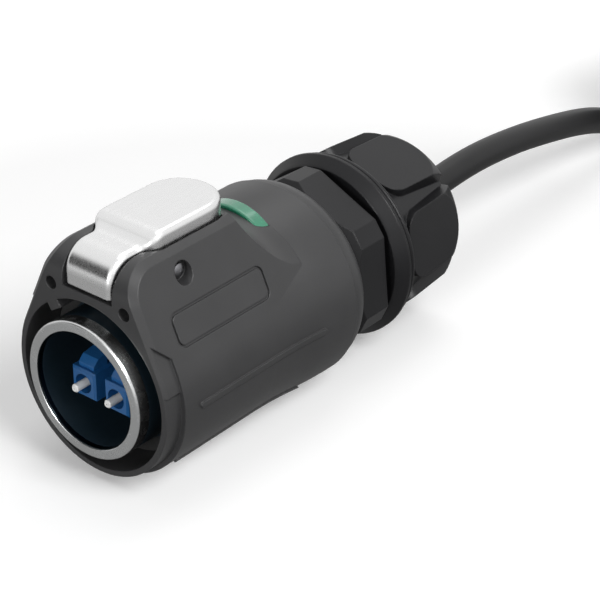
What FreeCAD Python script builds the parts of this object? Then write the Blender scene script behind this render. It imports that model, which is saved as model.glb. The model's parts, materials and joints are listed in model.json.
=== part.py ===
import FreeCAD, Part
import math
import os

# Waterproof duplex fibre connector with its latch up, lying on its round body.
# Sizes are in mm. While a piece is made, Y runs back along the connector's axis from the face of the
# metal ring, X goes to the right seen from the mouth and Z is the height above the axis.

# Clearances
FIXED_FIT = 0.03
RUNNING_FIT = 0.05
LOOSE_FIT = 0.1
MOVING_GAP = 0.35

# Metal ring and barrel
BARREL_R = 10.48
BARREL_WALL = 1.65
RING_LIP = 1.0
RING_SKIRT = 1.2
RING_SKIRT_WALL = 0.85
RING_EDGE = 0.35
BARREL_NOSE = 8.3
SEAL_SEAT_STEP = 0.42
SEAL_LENGTH = 1.7
BARREL_FLANGE = 4.0
BARREL_TAIL = 6.0
BARREL_TAIL_STEP = 0.5

# Shell, a body of revolution with a latch tower
SHELL_SETBACK = 1.8
SOCKET_GAP = 2.57
SHELL_WALL = 1.7
BODY_LENGTH = 22.2
SWELL_LENGTH = 17.0
BULGE_RISE = 0.95
END_GROOVE = 0.5
END_GROOVE_DEPTH = 0.3
TAPER_LENGTH = 3.0
TAPER_DROP = 1.7
WEB = 3.0
LOCK_WALL = 1.59
THREAD_STEP = 1.7
THREAD_LENGTH = 6.0

# Latch tower on the shell
FLANK_ANGLE = 25.0
TOWER_DEPTH = 5.7
TOWER_EDGE = 0.9
NOSE_R = 5.0
SCOOP_R = 10.6
SCOOP_BACK = 31.2
SCOOP_DROP = 0.3
CHANNEL_WEB = 1.25
CHANNEL_REAR_GAP = 1.0

# Collar behind the mouth, ear holes, key, ribs and the outlined plaque
COLLAR_LENGTH = 2.95
COLLAR_UPPER_STEP = 0.45
COLLAR_LOWER_STEP = 0.8
COLLAR_TOP = 7.85
COLLAR_SLOPE = 0.96
COLLAR_STEP = 3.2
EAR_HOLE_R = 1.0
EAR_HOLE_DEPTH = 3.0
EAR_X = 6.85
EAR_DROP = 0.4
KEY_ANGLE = 122.0
KEY_WIDTH = 2.2
KEY_LENGTH = 4.0
KEY_HEIGHT = 1.35
KEY_ROOT = 1.0
RIB_ANGLES = (0.0, -50.0, 180.0, 230.0)
RIB_START = 5.9
RIB_LENGTH = 26.4
RIB_WIDTH = 0.9
RIB_HEIGHT = 0.35
PLAQUE_START = 4.9
PLAQUE_LENGTH = 18.8
PLAQUE_FOOT = 2.2
PLAQUE_HEIGHT = 5.1
PLAQUE_CORNER = 1.3
PLAQUE_LINE = 0.4
PLAQUE_DEPTH = 0.3

# Latch lever, pin and spring
LATCH_SETBACK = 0.1
TONGUE_HALF = 4.3
TONGUE_LIFT = 0.6
TONGUE_WALL = 1.3
TONGUE_BEND_R = 4.0
TONGUE_RISE = 0.6
SHOULDER_START = 5.4
SHOULDER_LENGTH = 3.3
PAD_RAIL = 1.15
PAD_STEP = 1.7
PAD_SKIRT = 2.9
PAD_PLATE = 1.2
PAD_RISE = 4.0
PAD_EDGE = 0.9
PAD_LENGTH = 24.2
PAD_POCKET_WALL = 1.2
PIVOT_BACK = 10.0
PIVOT_RISE = 2.3
PIN_R = 1.05
PIN_INSET = 0.58
PIN_DOME = 0.35
PIN_BORE_R = 1.6
PIN_SEAT_DEPTH = 1.23
BOSS_R = 1.9
TOOTH_BACK = 2.4
TOOTH_LENGTH = 2.0
TOOTH_HALF = 3.0
TOOTH_GAP = 1.22
LATCH_PRESS = 9.0
SPRING_BACK = 15.8
SPRING_R = 2.0
SPRING_WIRE_R = 0.25
SPRING_TURNS = 5

# Green mark behind the thumb pad
MARK_BACK = 28.8
MARK_LENGTH = 2.2
MARK_R = 9.0
MARK_RISE = 0.6
MARK_SEAT_RISE = 0.25
MARK_EDGE = 0.45

# Duplex plugs, on the standard pitch, and what holds them
LC_PITCH = 6.25
LC_AXIS_HEIGHT = -1.56
LC_FACE = 3.2
LC_NOSE = 4.42
LC_NOSE_EDGE = 0.3
LC_NOSE_LENGTH = 10.0
LC_BODY_WIDTH = 5.4
LC_BODY_HEIGHT = 6.4
LC_BODY_LENGTH = 8.75
LC_MOUTH_R = 1.5
LC_MOUTH_DEPTH = 2.4
LC_WEB = 1.2
LC_BORE_R = 1.45
ARM_WIDTH = 2.9
ARM_START = 0.8
ARM_ROOT = 2.6
ARM_LENGTH = 7.4
ARM_HEIGHT = 1.5
ARM_WALL = 0.9
ARM_LIFT = 1.0
FERRULE_R = 0.625
FERRULE_TIP = 1.4
FERRULE_EDGE = 0.2
FERRULE_TRAVEL = 0.8
FERRULE_HOLD = 2.1
FLANGE_R = 1.38
FLANGE_LENGTH = 2.75
FERRULE_SPRING_LENGTH = 5.3
FERRULE_SPRING_R = 1.0
FERRULE_SPRING_WIRE_R = 0.14
FERRULE_SPRING_TURNS = 6
BACKPOST_TAIL_R = 1.2
BACKPOST_TAIL = 4.0
BOOT_R = 1.9
BOOT_END_R = 1.0
BOOT_LENGTH = 10.0
FIBRE_R = 0.45
FIBRE_OFFSET = 0.8
FIBRE_BEND_R = 6.0
FIBRE_LEAD = 3.0
HOLDER_FRONT_WALL = 1.2
HOLDER_FLANGE = 2.0
COVER = 1.2
LOCK_LIP = 1.0
LOCK_LIP_REACH = 0.98

# Cable gland
GLAND_COLLAR = 0.4
GLAND_COLLAR_INSET = 1.0
HEX_SIDES = 6
HEX_FLAT = 13.0
HEX_CORNER = 14.15
HEX_LENGTH = 6.5
HEX_BEVEL = 1.3
HEX_TURN = 35.5
SPIGOT_R = 10.1
SPIGOT_LENGTH = 9.0
SPIGOT_WALL = 1.7
GLAND_FLOOR = 2.0
GLAND_HOLE_R = 4.0
O_RING_R = 11.3
O_RING_WIRE_R = 0.5
CLAW_WALL = 1.1
CLAW_REACH = 5.0
CLAW_SLITS = 8
CLAW_SLIT = 0.8
CLAW_TIP_R = 5.2
SEAL_PULL = 1.0

# Gland nut
NUT_GAP = 1.5
NUT_LIP_R = 13.8
NUT_BEVEL = 1.7
NUT_RIM_R = 15.0
NUT_RIM = 0.8
NUT_RIM_EDGE = 0.3
NUT_BARREL_R = 14.4
NUT_BARREL = 8.2
NUT_DOME = 7.2
NUT_FLAT = 13.6
NUT_TILT = 4.0
NUT_SIDES = 6
NUT_TURN = 10.5
NUT_PAD_START = 2.0
NUT_PAD_HALF = 5.4
NUT_PAD_CORNER = 3.0
NUT_BEAD = 0.9
NUT_BEAD_RISE = 0.35
NUT_BEAD_GAP = 0.3
NUT_WAIST_R = 13.4
NUT_VALLEY_R = 11.3
NUT_COLLAR = 1.0
NUT_COLLAR_R = 4.6
NUT_HOLE_R = 2.9
NUT_HOLE_LENGTH = 4.0
NUT_CONE = 5.0
NUT_CONE_R = 5.6
WASHER = 1.0

# Cable, its hank, tie and end cap
CABLE_R = 2.4
STUB_HIDE = 1.6
HANK_X = 10.0
HANK_Y = 160.0
HANK_RUN = 45.0
HANK_FOLD_R = 14.4
HANK_LAYERS = 5
TIE = 0.6
TIE_WIDTH = 7.0
TIE_AT = 35.0
TAIL_LENGTH = 28.0
CAP_LENGTH = 20.0
CAP_HOLD = 9.0
CAP_EDGE = 0.8

# Stations along the axis and derived sizes
BARREL_BORE_R = BARREL_R - BARREL_WALL
BARREL_TAIL_R = BARREL_R - BARREL_TAIL_STEP
MOUTH_R = BARREL_R + SOCKET_GAP
BODY_R = MOUTH_R + SHELL_WALL
BULGE_R = BODY_R + BULGE_RISE
AXIS_HEIGHT = BULGE_R
SHELL_END_R = BULGE_R - TAPER_DROP
CAVITY_R = BARREL_TAIL_R + FIXED_FIT + LOCK_WALL + LOOSE_FIT
THREAD_R = CAVITY_R - THREAD_STEP
CHANNEL_FLOOR = MOUTH_R + CHANNEL_WEB
TOWER_TOP = CHANNEL_FLOOR + TOWER_DEPTH
SCOOP_BOTTOM_R = BULGE_R - SCOOP_DROP
COLLAR_UPPER_R = BODY_R - COLLAR_UPPER_STEP
COLLAR_LOWER_R = BODY_R - COLLAR_LOWER_STEP
EAR_HEIGHT = CHANNEL_FLOOR - EAR_DROP
TONGUE_BOTTOM = CHANNEL_FLOOR + TONGUE_LIFT
TONGUE_TOP = TOWER_TOP + TONGUE_RISE
PAD_TOP = TONGUE_TOP + PAD_STEP
PIVOT_HEIGHT = CHANNEL_FLOOR + PIVOT_RISE
TOOTH_TIP = BARREL_R + TOOTH_GAP
MARK_TOP = BULGE_R + MARK_RISE
MARK_SEAT_R = BODY_R + MARK_SEAT_RISE
GLAND_COLLAR_R = SHELL_END_R - GLAND_COLLAR_INSET
BARREL_FACE = RING_LIP
SEAL_FRONT = BARREL_NOSE
FLANGE_FRONT = SEAL_FRONT + SEAL_LENGTH
WEB_FRONT = FLANGE_FRONT + BARREL_FLANGE
WEB_BACK = WEB_FRONT + WEB
BARREL_END = WEB_FRONT + BARREL_TAIL
SHELL_FRONT = SHELL_SETBACK
SWELL_START = SHELL_FRONT + BODY_LENGTH
BULGE_AT = SWELL_START + SWELL_LENGTH
TAPER_AT = BULGE_AT + END_GROOVE
SHELL_END = TAPER_AT + TAPER_LENGTH
CAVITY_END = SHELL_END - THREAD_LENGTH
SCOOP_AT = SHELL_FRONT + SCOOP_BACK
LATCH_FRONT = SHELL_FRONT + LATCH_SETBACK
LATCH_END = LATCH_FRONT + PAD_LENGTH
PIVOT_Y = SHELL_FRONT + PIVOT_BACK
PAD_BOTTOM = PAD_TOP - PAD_SKIRT
FLANK_NORMAL = FreeCAD.Vector(math.cos(math.radians(FLANK_ANGLE)), 0, math.sin(math.radians(FLANK_ANGLE)))
FLANK_RISE = FreeCAD.Vector(-FLANK_NORMAL.z, 0, FLANK_NORMAL.x)
FLANK_FOOT = FLANK_NORMAL * BODY_R
FLANK_HEIGHT = (TOWER_TOP - FLANK_FOOT.z) / FLANK_RISE.z
FLANK_HEAD = FLANK_FOOT + FLANK_RISE * FLANK_HEIGHT
PAD_HALF = FLANK_HEAD.x - PAD_RAIL
FLANK_AT_PIN = (BODY_R - PIVOT_HEIGHT * FLANK_NORMAL.z) / FLANK_NORMAL.x
PIN_HALF = FLANK_AT_PIN - PIN_INSET
PIN_SEAT_HALF = FLANK_AT_PIN - PIN_SEAT_DEPTH
TOOTH_SWING = (PIVOT_HEIGHT - TOOTH_TIP) * math.sin(math.radians(LATCH_PRESS))
HOLDER_R = BARREL_BORE_R - RUNNING_FIT
LC_BODY_FRONT = LC_FACE + LC_NOSE_LENGTH
LC_BODY_END = LC_BODY_FRONT + LC_BODY_LENGTH
LC_WEB_FRONT = LC_FACE + LC_MOUTH_DEPTH
LC_WEB_BACK = LC_WEB_FRONT + LC_WEB
FLANGE_AT = LC_WEB_BACK + RUNNING_FIT
FLANGE_BACK = FLANGE_AT + FLANGE_LENGTH
FIBRE_START = FLANGE_BACK + FERRULE_TRAVEL + MOVING_GAP
BACKPOST_AT = FLANGE_BACK + FERRULE_SPRING_LENGTH
HOLDER_FRONT = LC_BODY_FRONT - HOLDER_FRONT_WALL
HOLDER_END = BARREL_END + HOLDER_FLANGE
COVER_END = HOLDER_END + COVER
LOCK_END = COVER_END + LOCK_LIP
BOOT_AT = COVER_END + LOOSE_FIT
BOOT_END = BOOT_AT + BOOT_LENGTH
HEX_FRONT = SHELL_END + GLAND_COLLAR
HEX_BACK = HEX_FRONT + HEX_LENGTH
SPIGOT_END = HEX_BACK + SPIGOT_LENGTH
SPIGOT_BORE_R = SPIGOT_R - SPIGOT_WALL
GLAND_SEAT = HEX_FRONT + GLAND_FLOOR
NUT_FRONT = HEX_BACK + NUT_GAP
RIM_FRONT = NUT_FRONT + NUT_BEVEL
RIM_BACK = RIM_FRONT + NUT_RIM
DOME_AT = RIM_BACK + NUT_BARREL
NUT_FACE = DOME_AT + NUT_DOME
NUT_END = NUT_FACE + NUT_COLLAR
NUT_SHOULDER = NUT_END - NUT_HOLE_LENGTH
NUT_CONE_FRONT = NUT_SHOULDER - NUT_CONE
NUT_BORE_R = SPIGOT_R + LOOSE_FIT
CLAW_R = SPIGOT_BORE_R - LOOSE_FIT
CLAW_BORE_R = CLAW_R - CLAW_WALL
CLAW_END = NUT_SHOULDER - WASHER - MOVING_GAP
CLAW_BEND = CLAW_END - CLAW_REACH
STUB_FRONT = CAVITY_END + FIBRE_LEAD
STUB_END = NUT_END - STUB_HIDE
LENGTH = NUT_END
LC_CENTRES = {"left": -LC_PITCH / 2, "right": LC_PITCH / 2}
HANK_FAR = HANK_Y + HANK_RUN
HANK_OUTER_R = HANK_FOLD_R + CABLE_R
HANK_INNER_R = HANK_FOLD_R - CABLE_R
HANK_TOP = TIE + HANK_LAYERS * 2 * CABLE_R
HANK_LEDGE = HANK_TOP - 2 * CABLE_R
CAP_R = CABLE_R + TIE
TAIL_X = HANK_X + HANK_FOLD_R
TAIL_HEIGHT = HANK_LEDGE + CAP_R
BIG = 100.0
PAST = 1.0
SAME = 1e-4

# The cable's route from the gland to the hank: X, Y from the ring's face, Z above the axis.
# Each bend takes the given share of the shorter run beside it.
RUN_SHARE = 0.45
CABLE_ROUTE = (
    (0.0, STUB_END, 0.0),
    (0.0, 79.5, 0.0),
    (0.0, 90.5, 0.8),
    (0.0, 102.0, 0.0),
    (0.0, 114.0, -1.9),
    (0.2, 127.5, -4.7),
    (0.0, 137.5, -8.6),
    (-2.0, 147.5, -12.0),
    (-4.0, 157.5, -12.7),
    (-4.4, 167.5, -12.7),
)


def point(x, y, z):
    return FreeCAD.Vector(x, y, z)


def polar(radius, degrees):
    turn = math.radians(degrees)
    return point(radius * math.cos(turn), 0, radius * math.sin(turn))


def chain(steps):
    """Edges from point to point; a pair of points in the list is an arc's middle and end."""
    edges = []
    here = steps[0]
    for step in steps[1:]:
        if isinstance(step, tuple):
            edges.append(Part.Arc(here, step[0], step[1]).toShape())
            here = step[1]
        else:
            edges.append(Part.LineSegment(here, step).toShape())
            here = step
    return edges


def face_of(steps):
    """Flat face inside a closed outline, whose last point is joined to the first."""
    last = steps[-1][1] if isinstance(steps[-1], tuple) else steps[-1]
    closing = [] if (last - steps[0]).Length < SAME else [steps[0]]
    return Part.Face(Part.Wire(chain(steps + closing)))


def turned(steps):
    """Turn a closed profile, drawn with X as the radius and Y along the axis, about the axis."""
    return face_of(steps).revolve(point(0, 0, 0), point(0, 1, 0), 360)


def profile(pairs):
    """Radius and station pairs as points, with arcs given as a pair of pairs."""
    steps = []
    for pair in pairs:
        if isinstance(pair[0], tuple):
            steps.append((point(*pair[0], 0), point(*pair[1], 0)))
        else:
            steps.append(point(*pair, 0))
    return steps


def tube(outer_r, inner_r, start, end):
    return turned(profile([(inner_r, start), (outer_r, start), (outer_r, end), (inner_r, end)]))


def rod(radius, start, end, x=0.0, z=0.0):
    return Part.makeCylinder(radius, end - start, point(x, start, z), point(0, 1, 0))


def cross_rod(radius, half, y, z):
    return Part.makeCylinder(radius, 2 * half, point(-half, y, z), point(1, 0, 0))


def block(x_low, x_high, y_low, y_high, z_low, z_high):
    size = (x_high - x_low, y_high - y_low, z_high - z_low)
    return Part.makeBox(*size, point(x_low, y_low, z_low))


def side_plate(steps, half):
    """Extrude an outline, drawn in Y and Z, to both sides of the middle plane."""
    plate = face_of(steps).extrude(point(2 * half, 0, 0))
    plate.translate(point(-half, 0, 0))
    return plate


def about_axis(shape, degrees):
    """Turn a shape made at the right-hand side, angle 0, up round the connector's axis."""
    copy = shape.copy()
    copy.rotate(point(0, 0, 0), point(0, 1, 0), -degrees)
    return copy


def s_curve(start, end):
    """Two equal arcs from start to end, both points as (across, along), tangent to the along direction."""
    rise = end[0] - start[0]
    run = end[1] - start[1]
    radius = (run * run + rise * rise) / (4 * abs(rise))
    sign = 1 if rise > 0 else -1
    middle = ((start[0] + end[0]) / 2, (start[1] + end[1]) / 2)

    def on_arc(centre_across, side, half_angle):
        across = centre_across - side * sign * radius * math.cos(half_angle)
        return across, radius * math.sin(half_angle)

    half_angle = math.asin(run / 2 / radius) / 2
    first_across, first_along = on_arc(start[0] + sign * radius, 1, half_angle)
    last_across, last_along = on_arc(end[0] - sign * radius, -1, half_angle)
    first_mid = (first_across, start[1] + first_along)
    last_mid = (last_across, end[1] - last_along)
    return [(first_mid, middle), (last_mid, end)]


def crown_arc(start, end):
    """One arc from start, tangent to the along direction, to end, both points as (across, along)."""
    rise = end[0] - start[0]
    run = end[1] - start[1]
    radius = (run * run + rise * rise) / (2 * abs(rise))
    sign = 1 if rise > 0 else -1
    half_angle = math.asin(run / radius) / 2
    middle = (start[0] + sign * radius * (1 - math.cos(half_angle)), start[1] + radius * math.sin(half_angle))
    return [(middle, end)]


def coil_spring(radius, wire_r, height, turns, place, direction):
    """A round-wire helix that ends flush with both seats."""
    rise = height - 2 * wire_r
    helix = Part.makeHelix(rise / turns, rise, radius)
    section = Part.makeCircle(wire_r, point(radius, 0, 0), point(0, 1, 0))
    spring = Part.Wire(helix.Edges).makePipeShell([Part.Wire(section)], True, True)
    spring.translate(point(0, 0, wire_r))
    spring.Placement = FreeCAD.Placement(
        place, FreeCAD.Rotation(point(0, 0, 1), direction)
    ).multiply(spring.Placement)
    return spring


def latch_plan(side_gap, rear_gap, front):
    """Outline of the latch from above, widened by side_gap and with its round end moved back by rear_gap."""
    tongue = TONGUE_HALF + side_gap
    pad = PAD_HALF + side_gap
    start = LATCH_FRONT + SHOULDER_START
    stop = start + SHOULDER_LENGTH
    end = LATCH_END + rear_gap
    corner = end - pad
    steps = profile([(tongue, front), (tongue, start)])
    steps += profile(s_curve((tongue, start), (pad, stop)))
    steps.append(point(pad, corner, 0))
    steps.append((point(0, end, 0), point(-pad, corner, 0)))
    steps.append(point(-pad, stop, 0))
    steps += profile(s_curve((-pad, stop), (-tongue, start)))
    steps.append(point(-tongue, front, 0))
    return face_of(steps)


def profile_swapped(arcs):
    """Exchange station and radius in arcs made by crown_arc."""
    return [((middle[1], middle[0]), (last[1], last[0])) for middle, last in arcs]


def mirrored(shape):
    return shape.mirror(point(0, 0, 0), point(1, 0, 0))


def across(vector):
    return point(-vector.x, vector.y, vector.z)


def tangent_path(corners, radii):
    """Straight runs joined by tangent arcs of the given radii at the inner corners."""
    edges = []
    here = corners[0]
    for before, corner, after, radius in zip(corners, corners[1:], corners[2:], radii):
        back = (before - corner).normalize()
        ahead = (after - corner).normalize()
        half = (math.pi - back.getAngle(ahead)) / 2
        reach = radius * math.tan(half)
        inward = (back + ahead).normalize()
        middle = corner + inward * (radius / math.cos(half) - radius)
        edges.append(Part.LineSegment(here, corner + back * reach).toShape())
        edges.append(Part.Arc(corner + back * reach, middle, corner + ahead * reach).toShape())
        here = corner + ahead * reach
    edges.append(Part.LineSegment(here, corners[-1]).toShape())
    return Part.Wire(edges)


def swept(path, corners, radius):
    start = Part.makeCircle(radius, corners[0], corners[1] - corners[0])
    return path.makePipeShell([Part.Wire(start)], True, False)


def largest_radii(corners):
    """Bend radii that use the same share of the shorter of the two runs at each corner."""
    radii = []
    for before, corner, after in zip(corners, corners[1:], corners[2:]):
        half = (math.pi - (before - corner).getAngle(after - corner)) / 2
        run = min((before - corner).Length, (after - corner).Length)
        radii.append(RUN_SHARE * run / math.tan(half))
    return radii


def keyhole(radius):
    """Section of body and tower: a round of the given radius with both flanks tangent to it."""
    foot = FLANK_NORMAL * radius
    head = foot + FLANK_RISE * FLANK_HEIGHT
    return face_of([foot, head, across(head), across(foot), (point(0, 0, -radius), foot)])


def tower():
    """Latch tower: flanks tangent to the body, a rounded nose and a turned scoop at the back."""
    foot = FLANK_FOOT
    head = FLANK_HEAD
    front = keyhole(BODY_R).extrude(point(0, BODY_LENGTH, 0))
    front.translate(point(0, SHELL_FRONT, 0))
    wedge = face_of([foot, head, across(head), across(foot)])
    rear = wedge.extrude(point(0, SCOOP_AT - SWELL_START, 0))
    rear.translate(point(0, SWELL_START, 0))
    nose_mid = NOSE_R * (1 - math.sqrt(0.5))
    nose = side_plate(
        [
            point(0, SHELL_FRONT, -BIG),
            point(0, SHELL_FRONT, TOWER_TOP - NOSE_R),
            (
                point(0, SHELL_FRONT + nose_mid, TOWER_TOP - nose_mid),
                point(0, SHELL_FRONT + NOSE_R, TOWER_TOP),
            ),
            point(0, SCOOP_AT, TOWER_TOP),
            point(0, SCOOP_AT, -BIG),
        ],
        BIG,
    )
    solid = front.fuse(rear).removeSplitter().common(nose)
    border = []
    for edge in solid.Edges:
        ends = [vertex.Point for vertex in edge.Vertexes]
        off_flank = max(abs(point(abs(end.x), 0, end.z).dot(FLANK_NORMAL) - BODY_R) for end in ends)
        above_foot = max(end.z for end in ends) > foot.z + SAME
        at_back = min(end.y for end in ends) > SCOOP_AT - SAME
        if off_flank < SAME and above_foot and not at_back:
            border.append(edge)
    solid = solid.makeChamfer(TOWER_EDGE, border)
    scoop_mid = math.sqrt(0.5) * SCOOP_R
    centre_r = SCOOP_BOTTOM_R + SCOOP_R
    scoop = turned(
        profile(
            [
                (centre_r, SCOOP_AT - SCOOP_R),
                ((centre_r - scoop_mid, SCOOP_AT - scoop_mid), (SCOOP_BOTTOM_R, SCOOP_AT)),
                (SCOOP_BOTTOM_R, SCOOP_AT + PAST),
                (centre_r, SCOOP_AT + PAST),
            ]
        )
    )
    return solid.cut(scoop)


def rear_body():
    steps = [(0, SWELL_START), (BODY_R, SWELL_START)]
    steps += s_curve((BODY_R, SWELL_START), (BULGE_R, BULGE_AT))
    steps += [(BULGE_R - END_GROOVE_DEPTH, BULGE_AT), (BULGE_R - END_GROOVE_DEPTH, TAPER_AT)]
    steps += crown_arc((BULGE_R - END_GROOVE_DEPTH, TAPER_AT), (SHELL_END_R, SHELL_END))
    steps += [(0, SHELL_END)]
    return turned(profile(steps))


def shell_hollow():
    hole_r = BARREL_TAIL_R + FIXED_FIT
    return turned(
        profile(
            [
                (0, SHELL_FRONT - PAST),
                (MOUTH_R, SHELL_FRONT - PAST),
                (MOUTH_R, WEB_FRONT),
                (hole_r, WEB_FRONT),
                (hole_r, WEB_BACK),
                (CAVITY_R, WEB_BACK),
                (CAVITY_R, CAVITY_END),
                (THREAD_R, CAVITY_END),
                (THREAD_R, SHELL_END + PAST),
                (0, SHELL_END + PAST),
            ]
        )
    )


def latch_room():
    """Channel that the lever lies in, with the slot for its tooth."""
    channel = latch_plan(MOVING_GAP, CHANNEL_REAR_GAP, SHELL_FRONT - PAST).extrude(point(0, 0, BIG))
    channel.translate(point(0, 0, CHANNEL_FLOOR))
    half = TOOTH_HALF + MOVING_GAP
    tooth = LATCH_FRONT + TOOTH_BACK
    slot_front = tooth - TOOTH_SWING - MOVING_GAP
    slot_back = tooth + TOOTH_LENGTH + MOVING_GAP
    slot = block(-half, half, slot_front, slot_back, TOOTH_TIP - PAST, CHANNEL_FLOOR + PAST)
    return [channel, slot]


def pin_room():
    hole = cross_rod(PIN_R + FIXED_FIT, BIG, PIVOT_Y, PIVOT_HEIGHT)
    right = Part.makeCylinder(PIN_BORE_R, BIG, point(PIN_SEAT_HALF, PIVOT_Y, PIVOT_HEIGHT), point(1, 0, 0))
    return [hole, right, mirrored(right)]


def collar_room():
    """Two steps of the collar behind the mouth; the upper one follows the flanks and slopes up them."""
    start = SHELL_FRONT - PAST
    end = SHELL_FRONT + COLLAR_LENGTH
    waist = keyhole(COLLAR_UPPER_R).extrude(point(0, end - start, 0))
    waist.translate(point(0, start, 0))
    upper_step = (waist, COLLAR_TOP, COLLAR_SLOPE)
    lower_step = (rod(COLLAR_LOWER_R, start, end), COLLAR_STEP, 0.0)
    cuts = []
    for core, top, slope in (upper_step, lower_step):
        below = side_plate(
            [
                point(0, start, -BIG),
                point(0, end, -BIG),
                point(0, end, top),
                point(0, start, top + slope * (end - start)),
            ],
            BIG,
        )
        cuts.append(below.cut(core))
    return cuts


def ear_holes():
    hole = rod(EAR_HOLE_R, SHELL_FRONT - PAST, SHELL_FRONT + EAR_HOLE_DEPTH, EAR_X, EAR_HEIGHT)
    return [hole, mirrored(hole)]


def plaque_panel(inset):
    """Rounded panel on the right flank, standing out on both sides of the flank's plane."""
    low_y = SHELL_FRONT + PLAQUE_START + inset
    high_y = SHELL_FRONT + PLAQUE_START + PLAQUE_LENGTH - inset
    low_v = PLAQUE_FOOT + inset
    high_v = PLAQUE_FOOT + PLAQUE_HEIGHT - inset
    corner = PLAQUE_CORNER - inset
    bulge = corner * (1 - math.sqrt(0.5))

    def spot(y, v):
        return FLANK_FOOT + FLANK_RISE * v + point(0, y, 0) - FLANK_NORMAL * PLAQUE_DEPTH

    steps = [
        spot(low_y + corner, low_v),
        spot(high_y - corner, low_v),
        (spot(high_y - bulge, low_v + bulge), spot(high_y, low_v + corner)),
        spot(high_y, high_v - corner),
        (spot(high_y - bulge, high_v - bulge), spot(high_y - corner, high_v)),
        spot(low_y + corner, high_v),
        (spot(low_y + bulge, high_v - bulge), spot(low_y, high_v - corner)),
        spot(low_y, low_v + corner),
        (spot(low_y + bulge, low_v + bulge), spot(low_y + corner, low_v)),
    ]
    return face_of(steps).extrude(FLANK_NORMAL * (PLAQUE_DEPTH + PAST))


def plaque_lines():
    line = plaque_panel(0).cut(plaque_panel(PLAQUE_LINE))
    return [line, mirrored(line)]


def ribs():
    """Raised ribs with round ends that follow the body's outline."""
    root_r = BODY_R - RIB_WIDTH
    steps = [(root_r, SHELL_FRONT), (BODY_R + RIB_HEIGHT, SHELL_FRONT), (BODY_R + RIB_HEIGHT, SWELL_START)]
    steps += s_curve((BODY_R + RIB_HEIGHT, SWELL_START), (BULGE_R + RIB_HEIGHT, BULGE_AT))
    steps += [(root_r, BULGE_AT)]
    skin = turned(profile(steps))
    half = RIB_WIDTH / 2
    low = SHELL_FRONT + RIB_START + half
    high = SHELL_FRONT + RIB_START + RIB_LENGTH - half
    bar = face_of(
        [
            point(0, low, -half),
            point(0, high, -half),
            (point(0, high + half, 0), point(0, high, half)),
            point(0, low, half),
            (point(0, low - half, 0), point(0, low, -half)),
        ]
    ).extrude(point(BIG, 0, 0))
    rib = bar.common(skin)
    return [about_axis(rib, angle) for angle in RIB_ANGLES]


def mark_form(gap):
    """Lens that stands on the body behind the thumb pad, grown by gap."""
    start = SHELL_FRONT + MARK_BACK
    disc = rod(MARK_R + gap, start - gap, start + MARK_LENGTH + gap, 0, MARK_TOP - MARK_R)
    return disc.cut(rod(MARK_SEAT_R, start - PAST, start + MARK_LENGTH + PAST))


def shell():
    key_root = MOUTH_R + KEY_ROOT
    key_end = SHELL_FRONT + KEY_LENGTH
    key_half = KEY_WIDTH / 2
    key = block(MOUTH_R - KEY_HEIGHT, key_root, SHELL_FRONT, key_end, -key_half, key_half)
    solid = tower().fuse(rear_body())
    solid = solid.cut([shell_hollow()] + latch_room() + pin_room() + collar_room())
    solid = solid.cut(ear_holes() + plaque_lines() + [mark_form(FIXED_FIT)])
    solid = solid.fuse(ribs() + [about_axis(key, KEY_ANGLE)])
    return solid.removeSplitter()


def lock_mark():
    solid = mark_form(0)
    front = [edge for edge in solid.Edges if edge.BoundBox.YMax < SHELL_FRONT + MARK_BACK + SAME]
    rim = [edge for edge in front if edge.BoundBox.ZMax > MARK_TOP - SAME]
    return solid.makeFillet(MARK_EDGE, rim)


def front_ring():
    skirt_end = RING_LIP + RING_SKIRT
    skirt_r = BARREL_R - RING_SKIRT_WALL
    ring = turned(
        profile(
            [
                (BARREL_BORE_R, 0),
                (BARREL_R, 0),
                (BARREL_R, skirt_end),
                (skirt_r, skirt_end),
                (skirt_r, RING_LIP),
                (BARREL_BORE_R, RING_LIP),
            ]
        )
    )
    rims = [edge for edge in ring.Edges if edge.BoundBox.YMax < SAME]
    return ring.makeFillet(RING_EDGE, rims)


def front_barrel():
    skirt_end = RING_LIP + RING_SKIRT
    spigot_r = BARREL_R - RING_SKIRT_WALL - FIXED_FIT
    seat_r = BARREL_R + SEAL_SEAT_STEP
    flange_r = MOUTH_R - RUNNING_FIT
    return turned(
        profile(
            [
                (BARREL_BORE_R, BARREL_FACE),
                (spigot_r, BARREL_FACE),
                (spigot_r, skirt_end),
                (BARREL_R, skirt_end),
                (BARREL_R, SEAL_FRONT),
                (seat_r, SEAL_FRONT),
                (seat_r, FLANGE_FRONT),
                (flange_r, FLANGE_FRONT),
                (flange_r, WEB_FRONT),
                (BARREL_TAIL_R, WEB_FRONT),
                (BARREL_TAIL_R, BARREL_END),
                (BARREL_BORE_R, BARREL_END),
            ]
        )
    )


def face_seal():
    return tube(MOUTH_R - LOOSE_FIT, BARREL_R + SEAL_SEAT_STEP + FIXED_FIT, SEAL_FRONT, FLANGE_FRONT)


def barrel_lock_ring():
    ring = tube(CAVITY_R - LOOSE_FIT, BARREL_TAIL_R + FIXED_FIT, WEB_BACK, LOCK_END)
    lip = tube(CAVITY_R - LOOSE_FIT, BARREL_TAIL_R - LOCK_LIP_REACH, COVER_END, LOCK_END)
    return ring.fuse(lip).removeSplitter()


def lc_room(half_width, half_height, start, end):
    rooms = []
    for x in LC_CENTRES.values():
        low = LC_AXIS_HEIGHT - half_height
        high = LC_AXIS_HEIGHT + half_height
        rooms.append(block(x - half_width, x + half_width, start, end, low, high))
    return rooms


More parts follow.
